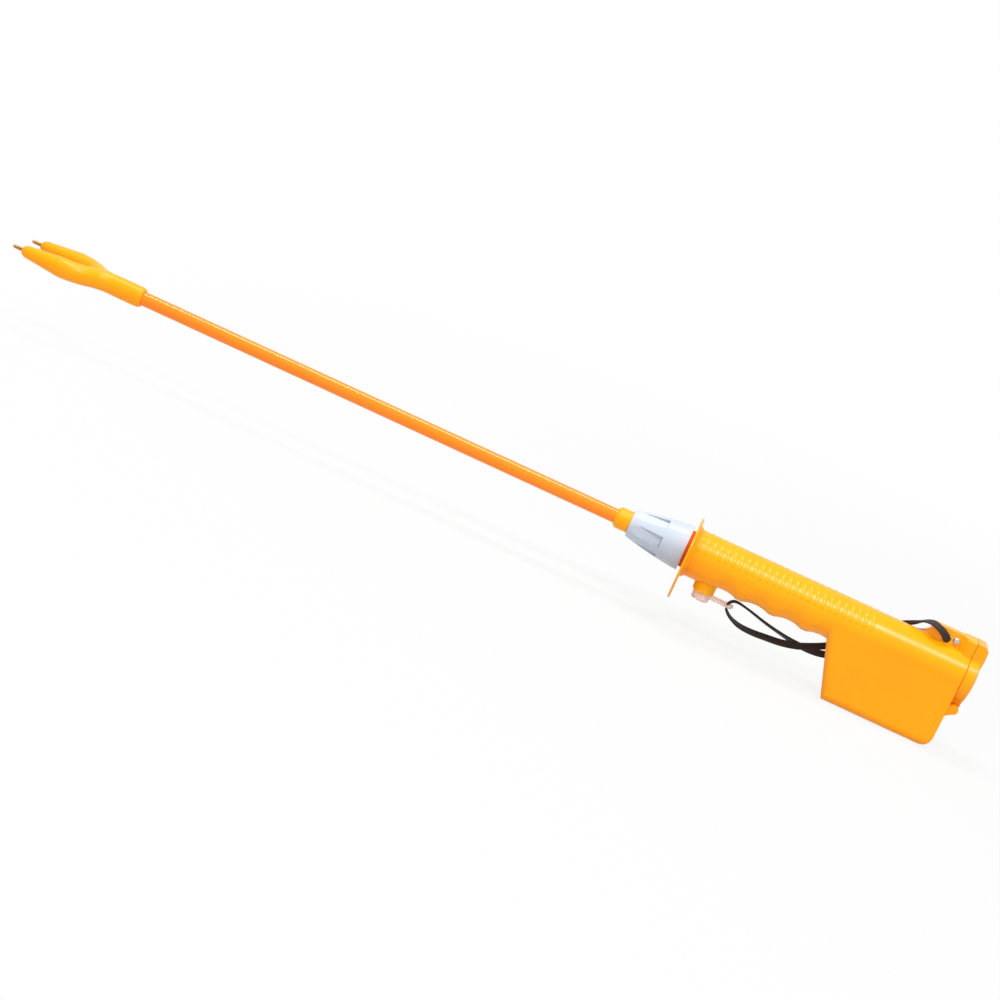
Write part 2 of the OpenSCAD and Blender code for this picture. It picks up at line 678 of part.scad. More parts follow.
module safety_cap() color([0.95, 0.86, 0.83]) place() difference() {
  r = cap_d / 2;
  low = cap_top - cap_h;
  union() {
    turned_z([[0, low], [r - 1.2, low], [r - 0.4, low + 0.4], [r, low + 1.2], [r, cap_top - 0.4],
      [r - 0.4, cap_top], [0, cap_top]]);
    block([trigger_x, -arm_w / 2, cap_top - 0.3 - arm_t], [eye_x, arm_w / 2, cap_top - 0.3]);
    translate([eye_x, 0, cap_top - 0.3 - arm_t]) cylinder(h = arm_t, r = 5);
  }
  translate([trigger_x, 0, low + 2.2]) cylinder(h = cap_h, r = button_d / 2 + 0.4);
  block([eye_x - 1.6, -strap_w / 2 - 0.4, low], [eye_x + 1.6, strap_w / 2 + 0.4, cap_top + 1]);
}

// Wrist strap, from the lug's hole over the far side, through the eyelet and back

strap_route = [
  [215.1, -3.5, 23.3], [214.5, -6, 24.1], [210.7, -7.7, 27.3], [206.2, -8, 29.6], [200.8, -6.8, 30.9],
  [195.6, -3.2, 29.3], [191, 2.6, 25], [187.2, 8.6, 20.6], [182.5, 15, 15.8], [176, 20, 9.2], [168, 22, -1],
  [156, 21.8, -14], [145, 21.6, -24], [134, 21, -31], [123, 15, -35], [112, 10, -38.3], [99, 6.5, -40.5],
  [86, 5, -41.5], [74, 3.5, -42], [63, 2, -41], [54, 0.8, -37.6], [48.4, 0.2, -33], [47.1, 0, -28.8],
  [48.8, 0, -25], [53.5, 0.3, -23.2], [64, 1.5, -25.2], [82, 5, -30.6], [98, 10.5, -35], [112, 15.5, -38.3],
  [124, 19, -39.5], [136.5, 21.4, -38], [150, 21.8, -32], [165, 21.8, -21], [180, 21.6, -8],
  [194, 21.2, 4.5], [204.4, 17.2, 14.5], [210.8, 11.5, 20.5], [214.4, 6.6, 22.8], [215.1, 3.6, 23.3]];
strap_flat = [
  [-0.75, 0, -0.65], [-0.75, 0, -0.65], [-0.6, -0.4, -0.7], [-0.3, -0.65, -0.7], [-0.35, -0.75, -0.55],
  [-0.45, -0.85, -0.25], [-0.5, -0.8, 0.1], [-0.85, -0.45, 0.2], [-0.8, -0.43, 0.4], [-0.78, -0.28, 0.57],
  [-0.7, 0, 0.7], [-0.7, 0, 0.7], [-0.7, 0, 0.7], [-0.5, -0.1, 0.8], [-0.25, 0.1, 0.95], [-0.1, 0.4, 0.9],
  [0, 0.6, 0.8], [0, 0.7, 0.7], [0, 0.8, 0.6], [0, 0.92, 0.4], [0, 1, 0.1], [0, 1, 0], [0, 1, 0], [0, 1, 0],
  [0, 1, -0.1], [0, 0.95, -0.3], [0, 0.9, -0.42], [0, 0.84, -0.54], [0.1, 0.55, -0.8], [0.2, 0.25, -0.95],
  [0.5, 0, -0.85], [0.6, 0, -0.8], [0.6, 0, -0.8], [0.6, 0, -0.8], [0.65, 0.1, -0.7], [0.7, 0.4, -0.5],
  [0.7, 0.3, -0.6], [0.7, 0, -0.7], [0.7, 0, -0.7]];

module wrist_strap() color([0.1, 0.07, 0.06]) place() {
  a = strap_w / 2;
  b = strap_t / 2;
  path = smooth_route(strap_route, 2);
  sweep(path, blend_dirs(strap_flat, 2),
    [[a, -0.4 * b], [a, 0.4 * b], [a - 0.6 * b, b], [0.6 * b - a, b], [-a, 0.4 * b], [-a, -0.4 * b],
    [0.6 * b - a, -b], [a - 0.6 * b, -b]]);
}

// Rear door

module rear_door() color([1, 0.62, 0.03]) place() difference() {
  union() {
    translate([0, 0, grip_z]) lathe_x(concat(
      [[0, door_x], [grip_r - 0.6, door_x], [grip_r - 0.1, door_x + 0.5]],
      [for (k = [8 : -1 : 0]) [(grip_r - 0.1) * k / 8, door_x + door_t + dome_rise - dome_drop * pow(k / 8, 2)]]));
    slab_y(lug_block) polygon([[door_x, 2], [door_x + door_t - 1.5, 2], [door_x + door_t - 0.2, lug_h - 12],
      [door_x + door_t - 0.6, lug_h - 3.4], [door_x + door_t - 3.6, lug_h - 0.6], [door_x, lug_h]]);
    slab_y(2 * hinge_half) polygon([[door_x, -hinge_drop + 1], [hinge_x + hinge_r * 0.92, -hinge_drop + 1.2],
      [hinge_x + hinge_r * 0.98, -10], [door_x, -10]]);
    translate([hinge_x, 0, -hinge_drop]) rod_y(-hinge_half, hinge_half, hinge_r);
    translate([0, 0, peg_z]) lathe_x([[0, door_x - 3.4], [1.5, door_x - 3.4], [2.1, door_x - 2.6],
      [2.1, door_x + 1], [0, door_x + 1]]);
  }
  translate([hinge_x, 0, -hinge_drop]) rod_y(-20, 20, hinge_pin_d / 2 + fit_gap);
  translate([0, 0, grip_z]) difference() {
    rod_x(door_x - 1, door_x + 1.6, tube_r + 4);
    rod_x(door_x - 1, door_x + 1.6, tube_r + 1.6);
  }
  translate([0, 0, grip_z]) rod_x(door_x - 1, door_x + 2.3, tube_r - 2);
}

module door_gasket() color([0.12, 0.12, 0.12]) place() translate([0, 0, grip_z]) difference() {
  rod_x(rear_x + 0.12, door_x + 1.55, tube_r + 3.9);
  rod_x(rear_x - 1, door_x + 3, tube_r + 1.7);
}

module door_contact() color([0.8, 0.8, 0.82]) place() translate([0, 0, grip_z]) {
  turns = 3;
  low = cells_end + 0.8;
  high = door_x + 1.9;
  path = [for (k = [0 : 8 * turns]) let (t = k / (8 * turns))
    [low + (high - low) * t, (4 + 3.4 * t) * cos(45 * k), (4 + 3.4 * t) * sin(45 * k)]];
  sweep(path, [for (p = path) [1, 0, 0]], round_section(0.45, 6));
  rod_x(door_x + 1.7, door_x + 2.15, tube_r - 2.4);
}

module hinge_pin() color([0.75, 0.75, 0.77]) place() translate([hinge_x, 0, -hinge_drop])
  rod_y(-ear_in - ear_t + 1.4, ear_in + ear_t - 0.2, hinge_pin_d / 2);

// Batteries and electronics

module battery_cells() color([0.2, 0.22, 0.26]) place() for (i = [0 : cell_count - 1])
  translate([cells_x + i * cell_len, 0, grip_z])
  lathe_x([[0, 0.05], [3.1, 0.05], [3.1, 2], [cell_d / 2 - 2, 2], [cell_d / 2, 3.6], [cell_d / 2, cell_len - 1],
    [cell_d / 2 - 1, cell_len - 0.05], [0, cell_len - 0.05]]);

module battery_sleeve() color([0.82, 0.8, 0.74]) place() translate([0, 0, grip_z]) difference() {
  rod_x(stop_x + 3.4, rear_x - 1, tube_r);
  rod_x(stop_x, rear_x + 1, tube_r - sleeve_wall);
}

module cell_contact() color([0.85, 0.65, 0.3]) place() translate([0, 0, grip_z])
  lathe_x([[0, stop_x + 2.45], [tube_r - 1.5, stop_x + 2.45], [tube_r - 1.5, stop_x + 3.2], [3.4, stop_x + 3.2],
    [2.4, cells_x], [0, cells_x]]);

module circuit_board() color([0.1, 0.36, 0.2]) place() difference() {
  block([board_x, -16.4, board_z], [board_x + board_len, 16.4, board_z + 1.6]);
  for (p = post_spots)
    translate([p[0], p[1], board_z - 1]) cylinder(h = 4, r = 1.3);
}

module board_screws() color([0.75, 0.75, 0.77]) place()
  for (p = post_spots) translate([p[0], p[1], board_z]) {
    translate([0, 0, -3.5]) cylinder(h = 5.2, r = 0.95);
    translate([0, 0, 1.65]) cylinder(h = 1.4, r = 2);
  }

function on_board(share) = board_x + board_len * share;

module transformer_core() color([0.16, 0.16, 0.17]) place() translate([0, 0, board_z + 1.65]) difference() {
  block([on_board(0.12), -12, 0], [on_board(0.55), 12, 24]);
  block([on_board(0.1), -7.6, 4.4], [on_board(0.6), 7.6, 9.4]);
  block([on_board(0.1), -7.6, 14.6], [on_board(0.6), 7.6, 19.6]);
}

module transformer_coil() color([0.65, 0.32, 0.12]) place() translate([0, 0, board_z + 1.65]) difference() {
  block([on_board(0.14), -7.4, 4.6], [on_board(0.53), 7.4, 19.4]);
  block([on_board(0.1), -12.5, 9.2], [on_board(0.6), 12.5, 14.8]);
}

module storage_capacitor() color([0.75, 0.55, 0.12]) place()
  translate([0, 7, board_z + 1.7 + 6.6]) rod_x(on_board(0.6), on_board(0.93), 6.5);

module heat_sink() color([0.72, 0.73, 0.75]) place() translate([0, 0, board_z + 1.65]) {
  block([on_board(0.58), -15.5, 0], [on_board(0.88), -13.5, 20]);
  for (t = [0.59 : 0.09 : 0.87]) block([on_board(t), -13.6, 0], [on_board(t + 0.02), -11.4, 20]);
}

module power_transistor() color([0.1, 0.1, 0.11]) place() translate([0, 0, board_z + 1.65]) {
  block([on_board(0.66), -11.3, 5], [on_board(0.81), -6.8, 19]);
  for (t = [0.69, 0.725, 0.76]) block([on_board(t), -8.6, 0], [on_board(t + 0.012), -8, 5.1]);
}

module wire_leads() color([0.75, 0.1, 0.08]) place() for (s = [-1, 1]) {
  low = floor_z + 1.4;
  wire([[front_in + 6.7, s * plug_y, 0], [14.5, s * 6, 3], [24, s * 10.5, 4], [36, s * 11.5, 2], [46, s * 11.2, -6],
    [58, s * 11.6, low + 2.3], [72, s * 11.4, low + 1.5], [100, s * 11.4, low + 1.5],
    [box_front - 2.3, s * 11.4, low + 1.5], [box_front + 4.7, s * 11.4, low + 1.1],
    [box_front + 8.3, s * 11.4, low - 1.5], [box_front + 9.1, s * 11.3, low - 5],
    [box_front + 9.7, s * 11, low - 13], [box_front + 12.7, s * 10.5, low - 24],
    [box_foot + 5.2, s * 9.5, board_z + 10], [board_x + 2.5, s * 8.5, board_z + 2.8]], 0.8);
  wire([[trigger_x + 9.3, s * 2.5, bracket_z + 4.2], [38, s * 4, -3], [46, s * 7, -8.5], [58, s * 9, low + 0.7],
    [72, s * 9.5, low], [100, s * 9.5, low], [box_front - 2.3, s * 9.5, low], [box_front + 4.7, s * 9.5, low - 0.1],
    [box_front + 8.7, s * 9.5, low - 2.4], [box_front + 9.3, s * 9.4, low - 6], [box_front + 9.7, s * 9, low - 13],
    [box_front + 12.7, s * 8, low - 25], [box_foot + 5.2, s * 6.6, board_z + 8.6],
    [board_x + 2.5, s * 5.5, board_z + 2.6]], 0.7);
}

electrode_pins();
fork_head();
shaft_tube();
shaft_leads();
shaft_ferrule();
plug_pins();
socket_contacts();
socket_body();
collet();
coupling_nut();
nut_seal();
hand_guard();
housing_left();
housing_right();
housing_screws();
lug_screw();
trigger_collar();
trigger_button();
trigger_spring();
switch_plunger();
trigger_switch();
switch_bracket();
safety_cap();
wrist_strap();
rear_door();
door_gasket();
door_contact();
hinge_pin();
battery_cells();
battery_sleeve();
cell_contact();
circuit_board();
board_screws();
transformer_core();
transformer_coil();
storage_capacitor();
heat_sink();
power_transistor();
wire_leads();
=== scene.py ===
# %% [markdown]
# # A livestock prod, dressed for its portrait
# The shapes and joints of the prod were made in CAD. This lesson loads that model as a fixed frame, gives
# every piece a finish of its own and models what CAD leaves plain: the woven wrist strap, the softly
# moulded fork and the spring under the trigger. All places are in metres, in the frame of the CAD model.

# %% Load the frame
import json
import math

import bmesh
import bpy
from mathutils import Matrix, Vector


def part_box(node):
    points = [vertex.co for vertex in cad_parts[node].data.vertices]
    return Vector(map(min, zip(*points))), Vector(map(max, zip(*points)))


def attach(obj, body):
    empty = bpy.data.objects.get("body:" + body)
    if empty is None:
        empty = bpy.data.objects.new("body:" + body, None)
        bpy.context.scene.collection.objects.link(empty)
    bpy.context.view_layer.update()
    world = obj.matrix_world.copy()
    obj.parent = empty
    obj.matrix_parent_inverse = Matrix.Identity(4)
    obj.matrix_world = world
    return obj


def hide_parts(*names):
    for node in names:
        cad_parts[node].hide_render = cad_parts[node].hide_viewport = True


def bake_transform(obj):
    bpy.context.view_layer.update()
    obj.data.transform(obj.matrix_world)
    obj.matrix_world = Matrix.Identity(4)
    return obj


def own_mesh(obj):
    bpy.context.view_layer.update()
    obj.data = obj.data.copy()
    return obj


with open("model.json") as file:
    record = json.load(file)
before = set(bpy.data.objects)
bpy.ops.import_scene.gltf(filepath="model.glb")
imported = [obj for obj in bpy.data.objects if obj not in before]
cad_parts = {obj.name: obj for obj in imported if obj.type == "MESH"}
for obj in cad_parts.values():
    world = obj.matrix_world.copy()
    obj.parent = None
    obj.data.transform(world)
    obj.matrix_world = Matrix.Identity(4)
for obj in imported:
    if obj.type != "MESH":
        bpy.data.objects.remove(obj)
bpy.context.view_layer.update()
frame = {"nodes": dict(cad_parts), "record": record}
nodes = frame["nodes"]
# The frame's plain materials give up their names, which the finishes below take.
for plain in bpy.data.materials:
    plain.name = "plain_" + plain.name

# %% [markdown]
# ## Camera
# The photograph looks at the prod from its left, a little above it, from about 1.8 m away, and the
# picture is rolled so that the shaft runs down to the right. A camera can be placed with a constraint or
# with a matrix. The matrix is used here, because the roll then follows from the shaft's own direction.

# %% Where the camera stands
guard_front_mm, shaft_line_mm = -187.8, 63.4


def from_guard(x, y, z):
    """A point in millimetres from the guard's front, on the shaft line, as a place in the row frame."""
    return Vector((x + guard_front_mm, y, z + shaft_line_mm)) / 1000


eye = from_guard(0.8, -1711, 439)
aim = from_guard(-155.8, -6.9, -26.8)
roll = math.radians(24.783)
sensor_mm, lens_mm = 36, 78.34
print("camera is", round((eye - aim).length, 3), "m from what it aims at")

# %% Place the camera
forward = (aim - eye).normalized()
along = Vector((1, 0, 0))
along = (along - forward * along.dot(forward)).normalized()
down = forward.cross(along)
right = along * math.cos(roll) - down * math.sin(roll)
up = -(along * math.sin(roll) + down * math.cos(roll))

camera_data = bpy.data.cameras.new("portrait_camera")
camera_data.sensor_width = sensor_mm
camera_data.lens = lens_mm
camera_data.clip_end = 20
camera = bpy.data.objects.new("portrait_camera", camera_data)
camera.matrix_world = Matrix.Translation(eye) @ Matrix((right, up, -forward)).transposed().to_4x4()
bpy.context.scene.collection.objects.link(camera)
bpy.context.scene.camera = camera
print("lens:", camera_data.lens, "mm")

# %% [markdown]
# ## Wrist strap
# The strap is one flat woven band. It leaves the hole in the lug, crosses the top of the grip, runs down
# the far side, passes through the eye of the trigger's cap and comes back to the lug, where its two ends
# are sewn together inside the hole and gather there. A bevelled curve would roll about its line as it
# likes, so the band is a mesh: one flattened ring of points is extruded from station to station, and each
# station says which way the band's width lies.

# %% The strap's stations
strap_stations = [
    # place from the guard, direction of the width
    ((215.1, -0.1, 23.3), (-0.75, 0, -0.65)),
    ((215.1, -3.5, 23.3), (-0.75, 0, -0.65)), ((214.5, -6, 24.1), (-0.75, 0, -0.65)),
    ((210.7, -7.7, 27.3), (-0.6, -0.4, -0.7)), ((206.2, -8, 29.6), (-0.3, -0.65, -0.7)),
    ((200.8, -6.8, 30.9), (-0.35, -0.75, -0.55)), ((195.6, -3.2, 29.3), (-0.45, -0.85, -0.25)),
    ((191, 2.6, 25), (-0.5, -0.8, 0.1)), ((187.2, 8.6, 20.6), (-0.85, -0.45, 0.2)),
    ((182.5, 15, 15.8), (-0.8, -0.43, 0.4)), ((176, 20, 9.2), (-0.78, -0.28, 0.57)),
    ((168, 22, -1), (-0.7, 0, 0.7)), ((156, 21.8, -14), (-0.7, 0, 0.7)), ((145, 21.6, -24), (-0.7, 0, 0.7)),
    ((134, 21, -31), (-0.5, -0.1, 0.8)), ((123, 15, -35), (-0.25, 0.1, 0.95)),
    ((112, 10, -38.3), (-0.1, 0.4, 0.9)), ((99, 6.5, -40.5), (0, 0.6, 0.8)),
    ((86, 5, -41.5), (0, 0.7, 0.7)), ((74, 3.5, -42), (0, 0.8, 0.6)), ((63, 2, -41), (0, 0.92, 0.4)),
    ((54, 0.8, -37.6), (0, 1, 0.1)), ((48.4, 0.2, -33), (0, 1, 0)), ((47.1, 0, -28.8), (0, 1, 0)),
    ((48.8, 0, -25), (0, 1, 0)), ((53.5, 0.3, -23.2), (0, 1, -0.1)), ((64, 1.5, -25.2), (0, 0.95, -0.3)),
    ((82, 5, -30.6), (0, 0.9, -0.42)), ((98, 10.5, -35), (0, 0.84, -0.54)),
    ((112, 15.5, -38.3), (0.1, 0.55, -0.8)), ((124, 19, -39.5), (0.2, 0.25, -0.95)),
    ((136.5, 21.4, -38), (0.5, 0, -0.85)), ((150, 21.8, -32), (0.6, 0, -0.8)),
    ((165, 21.8, -21), (0.6, 0, -0.8)), ((180, 21.6, -8), (0.6, 0, -0.8)),
    ((194, 21.2, 4.5), (0.65, 0.1, -0.7)), ((204.4, 17.2, 14.5), (0.7, 0.4, -0.5)),
    ((210.8, 11.5, 20.5), (0.7, 0.3, -0.6)), ((214.4, 6.6, 22.8), (0.7, 0, -0.7)),
    ((215.1, 3.6, 23.3), (0.7, 0, -0.7)), ((215.1, 0.1, 23.3), (0.7, 0, -0.7)),
]
print("strap stations:", len(strap_stations))

# %% The strap's line
rings_a_station = 5


def smooth_through(points, steps):
    """Points on a smooth curve that passes through all the given ones."""
    line = []
    last = len(points) - 1
    for i in range(last):
        a, b, c, d = points[max(i - 1, 0)], points[i], points[i + 1], points[min(i + 2, last)]
        for k in range(steps):
            t = k / steps
            line.append(0.5 * (2 * b + (c - a) * t + (2 * a - 5 * b + 4 * c - d) * t * t
                               + (3 * b - a - 3 * c + d) * t * t * t))
    line.append(points[last])
    return line


strap_line = smooth_through([from_guard(*place) for place, wide in strap_stations], rings_a_station)
strap_wide = smooth_through([Vector(wide).normalized() for place, wide in strap_stations], rings_a_station)

# %% Helpers for the strap's mesh
# Powers below 1 swell a circle towards a rectangle: nearly square at the band's edges, softer on its faces.
edge_power, face_power = 0.45, 0.7


def swell(value, power):
    """A sine or cosine raised to a power, with its sign kept."""
    return math.copysign(abs(value) ** power, value)


def in_fixed_order(parts, place):
    """Sort points, edges or faces by their place, since extrude and spin can order them anew each run."""
    rank = {part: k for k, part in enumerate(sorted(parts, key=place))}
    parts.sort(key=lambda part: rank[part])


def into_scene(name, bm):
    """The object made from a finished bmesh, which is put in a fixed order first and then freed."""
    in_fixed_order(bm.verts, lambda v: tuple(v.co))
    in_fixed_order(bm.edges, lambda e: tuple(e.verts[0].co + e.verts[1].co))
    in_fixed_order(bm.faces, lambda f: tuple(f.calc_center_median()))
    mesh = bpy.data.meshes.new(name)
    bm.to_mesh(mesh)
    bm.free()
    obj = bpy.data.objects.new(name, mesh)
    bpy.context.scene.collection.objects.link(obj)
    return obj


print("the band's section, an eighth of the way round:",
      round(swell(math.cos(math.pi / 4), edge_power), 3),
      round(swell(math.sin(math.pi / 4), face_power), 3))

# %% The strap's mesh
def flat_band(name, line, wides, width, thick, gathered, reach, section_points=20):
    """A closed flat band along a line, with a map of metres across and along for its weave.

    At each end it gathers from its own thickness to the gathered one, over the given reach."""
    whole = sum((b - a).length for a, b in zip(line, line[1:]))
    bm = bmesh.new()
    ring = bmesh.ops.create_circle(bm, segments=section_points, radius=1.0)["verts"]
    map_layer = bm.loops.layers.uv.new("weave")
    travelled = 0.0
    across = {}

    def lay(verts, i):
        ahead = (line[min(i + 1, len(line) - 1)] - line[max(i - 1, 0)]).normalized()
        face = ahead.cross(wides[i]).normalized()
        wide = face.cross(ahead).normalized()
        from_end = min(travelled, whole - travelled)
        share = max(1 - from_end / reach, 0)
        deep = thick + (gathered - thick) * share * share * (3 - 2 * share)
        for k, v in enumerate(verts):
            turn = 2 * math.pi * k / section_points
            x = swell(math.cos(turn), edge_power)
            y = swell(math.sin(turn), face_power)
            v.co = line[i] + wide * (x * width / 2) + face * (y * deep / 2)
            across[v] = (x * width / 2, travelled)

    lay(ring, 0)
    first_ring = list(ring)
    for i in range(1, len(line)):
        travelled += (line[i] - line[i - 1]).length
        edges = [bm.edges.get((ring[k], ring[(k + 1) % section_points])) for k in range(section_points)]
        made = bmesh.ops.extrude_edge_only(bm, edges=edges)["geom"]
        fresh = [g for g in made if isinstance(g, bmesh.types.BMVert)]
        partner = {}
        for v in ring:
            for e in v.link_edges:
                if e.other_vert(v) in fresh:
                    partner[v] = e.other_vert(v)
        ring = [partner[v] for v in ring]
        lay(ring, i)
    for end in (first_ring, ring):
        bmesh.ops.contextual_create(bm, geom=end)
    bmesh.ops.recalc_face_normals(bm, faces=bm.faces)
    for f in bm.faces:
        f.smooth = len(f.verts) == 4
        for loop in f.loops:
            loop[map_layer].uv = across[loop.vert]
    return into_scene(name, bm)


strap_width, strap_thick = 0.006, 0.002
strap = flat_band("strap_band", strap_line, strap_wide, strap_width, strap_thick,
                  gathered=0.0056, reach=0.008)
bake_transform(strap)
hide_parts("wrist_strap")
print("strap faces:", len(strap.data.polygons))

# %% [markdown]
# ## Moulded fork
# The fork is one soft moulding: its two horns grow out of the sleeve with no edge between them. CAD makes it
# from rings, cones and a tube that meet in fine steps. A new sculpted surface would lose the bores for the
# shaft and the pins, so a copy of the CAD mesh is merged and remeshed into small even faces. Its outer skin
# is then relaxed until the steps flow together, while the walls of the bores stay where they are.

# %% Even faces for the fork
def even_copy(name, node, grain, merge=0.00001):
    """A merged copy of a CAD mesh, remeshed into even faces of about the given size."""
    mesh = nodes[node].data.copy()
    bm = bmesh.new()
    bm.from_mesh(mesh)
    bmesh.ops.remove_doubles(bm, verts=bm.verts, dist=merge)
    bm.to_mesh(mesh)
    bm.free()
    obj = bpy.data.objects.new(name, mesh)
    bpy.context.scene.collection.objects.link(obj)
    even = obj.modifiers.new("even_faces", "REMESH")
    even.mode = "VOXEL"
    even.voxel_size = grain
    shown = obj.evaluated_get(bpy.context.evaluated_depsgraph_get())
    obj.data = bpy.data.meshes.new_from_object(shown)
    obj.data.name = name
    obj.modifiers.clear()
    obj.data.materials.clear()
    bpy.data.meshes.remove(mesh)
    return obj


fork = even_copy("moulded_fork", "fork_head", grain=0.0008)
print("fork faces:", len(fork.data.polygons))

# %% Relax the fork's skin
fork_bend, fork_root = from_guard(-521.2, 0, 0), from_guard(-564.2, 0, 0)
lead_start, horn_half = 0.0022, 0.020
sleeve_start = fork_bend.x + 0.001
shaft_bore, lead_bore = 0.0072, 0.0032
relax_turns = 30


def in_a_bore(point):
    """Whether a point of the fork belongs to the shaft's bore or to a lead's and pin's channel."""
    height = point.z - fork_bend.z
    if point.x > sleeve_start:
        return math.hypot(point.y, height) < shaft_bore
    share = min(max((fork_bend.x - point.x) / (fork_bend.x - fork_root.x), 0), 1)
    channel = lead_start + (horn_half - lead_start) * share
    return math.hypot(abs(point.y) - channel, height) < lead_bore


bm = bmesh.new()
bm.from_mesh(fork.data)
skin = [v for v in bm.verts if not in_a_bore(v.co)]
for turn in range(relax_turns):
    bmesh.ops.smooth_vert(bm, verts=skin, factor=0.5, use_axis_x=True, use_axis_y=True, use_axis_z=True)
for face in bm.faces:
    face.smooth = True
bm.to_mesh(fork.data)
bm.free()
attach(fork, "shaft")
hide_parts("fork_head")
print("relaxed", len(skin), "points of the fork's skin")

# %% [markdown]
# ## Trigger spring
# A small coil of steel wire stands between the button and the switch bracket, and shortens as the button
# is pressed. A screw modifier or a curve could wind it. Spin is used here: a ring of wire turns about the
# trigger's axis and climbs a little at each step.

# %% Wind the spring
def wound_spring(name, low, high, wire, turns, steps_a_turn=24, wire_points=10):
    """A coil of round wire, of the given radius, that fills the box between two corners."""
    middle = (low + high) / 2
    coil = (high.x - low.x) / 2 - wire
    climb = high.z - low.z - 2 * wire
    steps = turns * steps_a_turn
    start = Vector((middle.x + coil, middle.y, low.z + wire))
    bm = bmesh.new()
    upright = Matrix.Translation(start) @ Matrix.Rotation(math.pi / 2, 4, "X")
    first = bmesh.ops.create_circle(bm, segments=wire_points, radius=wire, matrix=upright)["verts"]
    made = bmesh.ops.spin(bm, geom=bm.edges[:], cent=middle, axis=(0, 0, 1), dvec=(0, 0, climb / steps),
                          angle=2 * math.pi * turns, steps=steps, use_merge=False)["geom_last"]
    last = [g for g in made if isinstance(g, bmesh.types.BMVert)]
    for end in (first, last):
        bmesh.ops.contextual_create(bm, geom=end)
    bmesh.ops.recalc_face_normals(bm, faces=bm.faces)
    for face in bm.faces:
        face.smooth = len(face.verts) == 4
    return into_scene(name, bm)


spring_low, spring_high = (Vector(corner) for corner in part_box("trigger_spring"))
spring = wound_spring("wound_spring", spring_low, spring_high, wire=0.00042, turns=3)
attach(spring, "handle")
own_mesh(spring)
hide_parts("trigger_spring")
print("spring:", round(spring_high.z - spring_low.z, 4), "m tall,", len(spring.data.polygons), "faces")

# %% [markdown]
# ## Finishes that several pieces share
# Moulded plastic is never one flat colour: it has a very fine skin, slow changes of tone and small
# changes of gloss. These are built once as a node group, and each plastic places the group with its own
# values. The shader itself stays in the material.

# %% Node groups
fine_skin = 1400.0


def open_group(name, inputs, outputs):
    """An empty shader group with named number sockets."""
    group = bpy.data.node_groups.new(name, "ShaderNodeTree")
    for label, value in inputs:
        socket = group.interface.new_socket(name=label, in_out="INPUT", socket_type="NodeSocketFloat")
        socket.default_value = value
    for label in outputs:
        group.interface.new_socket(name=label, in_out="OUTPUT", socket_type="NodeSocketFloat")
    return group, group.nodes.new("NodeGroupInput"), group.nodes.new("NodeGroupOutput")


def moulded_skin_group():
    """Tone: slow change of colour. Gloss: change of roughness. Height: fine moulded skin."""
    group, given, out = open_group("moulded_skin", [("Skin Scale", fine_skin), ("Tone Scale", 22.0)],
                                   ["Tone", "Gloss", "Height"])
    link = group.links.new
    place = group.nodes.new("ShaderNodeTexCoord")
    tone = group.nodes.new("ShaderNodeTexNoise")
    tone.inputs["Detail"].default_value = 3
    skin = group.nodes.new("ShaderNodeTexNoise")
    skin.inputs["Detail"].default_value = 2
    smear = group.nodes.new("ShaderNodeTexNoise")
    smear.inputs["Scale"].default_value = 90
    smear.inputs["Detail"].default_value = 4
    for texture in (tone, skin, smear):
        link(place.outputs["Object"], texture.inputs["Vector"])
    link(given.outputs["Tone Scale"], tone.inputs["Scale"])
    link(given.outputs["Skin Scale"], skin.inputs["Scale"])
    link(tone.outputs["Fac"], out.inputs["Tone"])
    link(smear.outputs["Fac"], out.inputs["Gloss"])
    link(skin.outputs["Fac"], out.inputs["Height"])
    return group


moulded_skin = moulded_skin_group()
print("group:", moulded_skin.name)

# %% Colours
def linear(r, g, b):
    """A colour picked as screen values from 0 to 255, as the linear colour a shader takes."""
    def one(v):
        v /= 255
        return v / 12.92 if v <= 0.04045 else ((v + 0.055) / 1.055) ** 2.4
    return (one(r), one(g), one(b), 1.0)


print("mid grey as a linear value:", round(linear(128, 128, 128)[0], 3))

# %% Patterns as tone, gloss and relief
# Nearly all of a noise lies between these two values, so that part is spread out.
pattern_low, pattern_high = 0.3, 0.7


def start_material(name):
    """A material with nodes, its tree and its shader."""
    material = bpy.data.materials.new(name)
    material.use_nodes = True
    tree = material.node_tree
    return material, tree, tree.nodes["Principled BSDF"]


def span(tree, pattern, low, high):
    """A pattern of values, spread between low and high."""
    node = tree.nodes.new("ShaderNodeMapRange")
    limits = {"From Min": pattern_low, "From Max": pattern_high, "To Min": low, "To Max": high}
    for label, value in limits.items():
        node.inputs[label].default_value = value
    tree.links.new(pattern, node.inputs["Value"])
    return node.outputs["Result"]


def two_tones(tree, pattern, dark, light):
    """A colour between two tones, by a pattern of values."""
    ramp = tree.nodes.new("ShaderNodeValToRGB")
    stops = ((pattern_low, dark), (pattern_high, light))
    for stop, (position, colour) in zip(ramp.color_ramp.elements, stops):
        stop.position = position
        stop.color = colour
    tree.links.new(pattern, ramp.inputs["Fac"])
    return ramp.outputs["Color"]


def bump(tree, shader, height, strength, distance, edge=0.0):
    """Relief from a height, over edges that shade as if rounded to the given radius."""
    node = tree.nodes.new("ShaderNodeBump")
    node.inputs["Strength"].default_value = strength
    node.inputs["Distance"].default_value = distance
    tree.links.new(height, node.inputs["Height"])
    tree.links.new(node.outputs["Normal"], shader.inputs["Normal"])
    if edge:
        rounded = tree.nodes.new("ShaderNodeBevel")
        rounded.inputs["Radius"].default_value = edge
        tree.links.new(rounded.outputs["Normal"], node.inputs["Normal"])


print("patterns are spread from", pattern_low, "to", pattern_high)

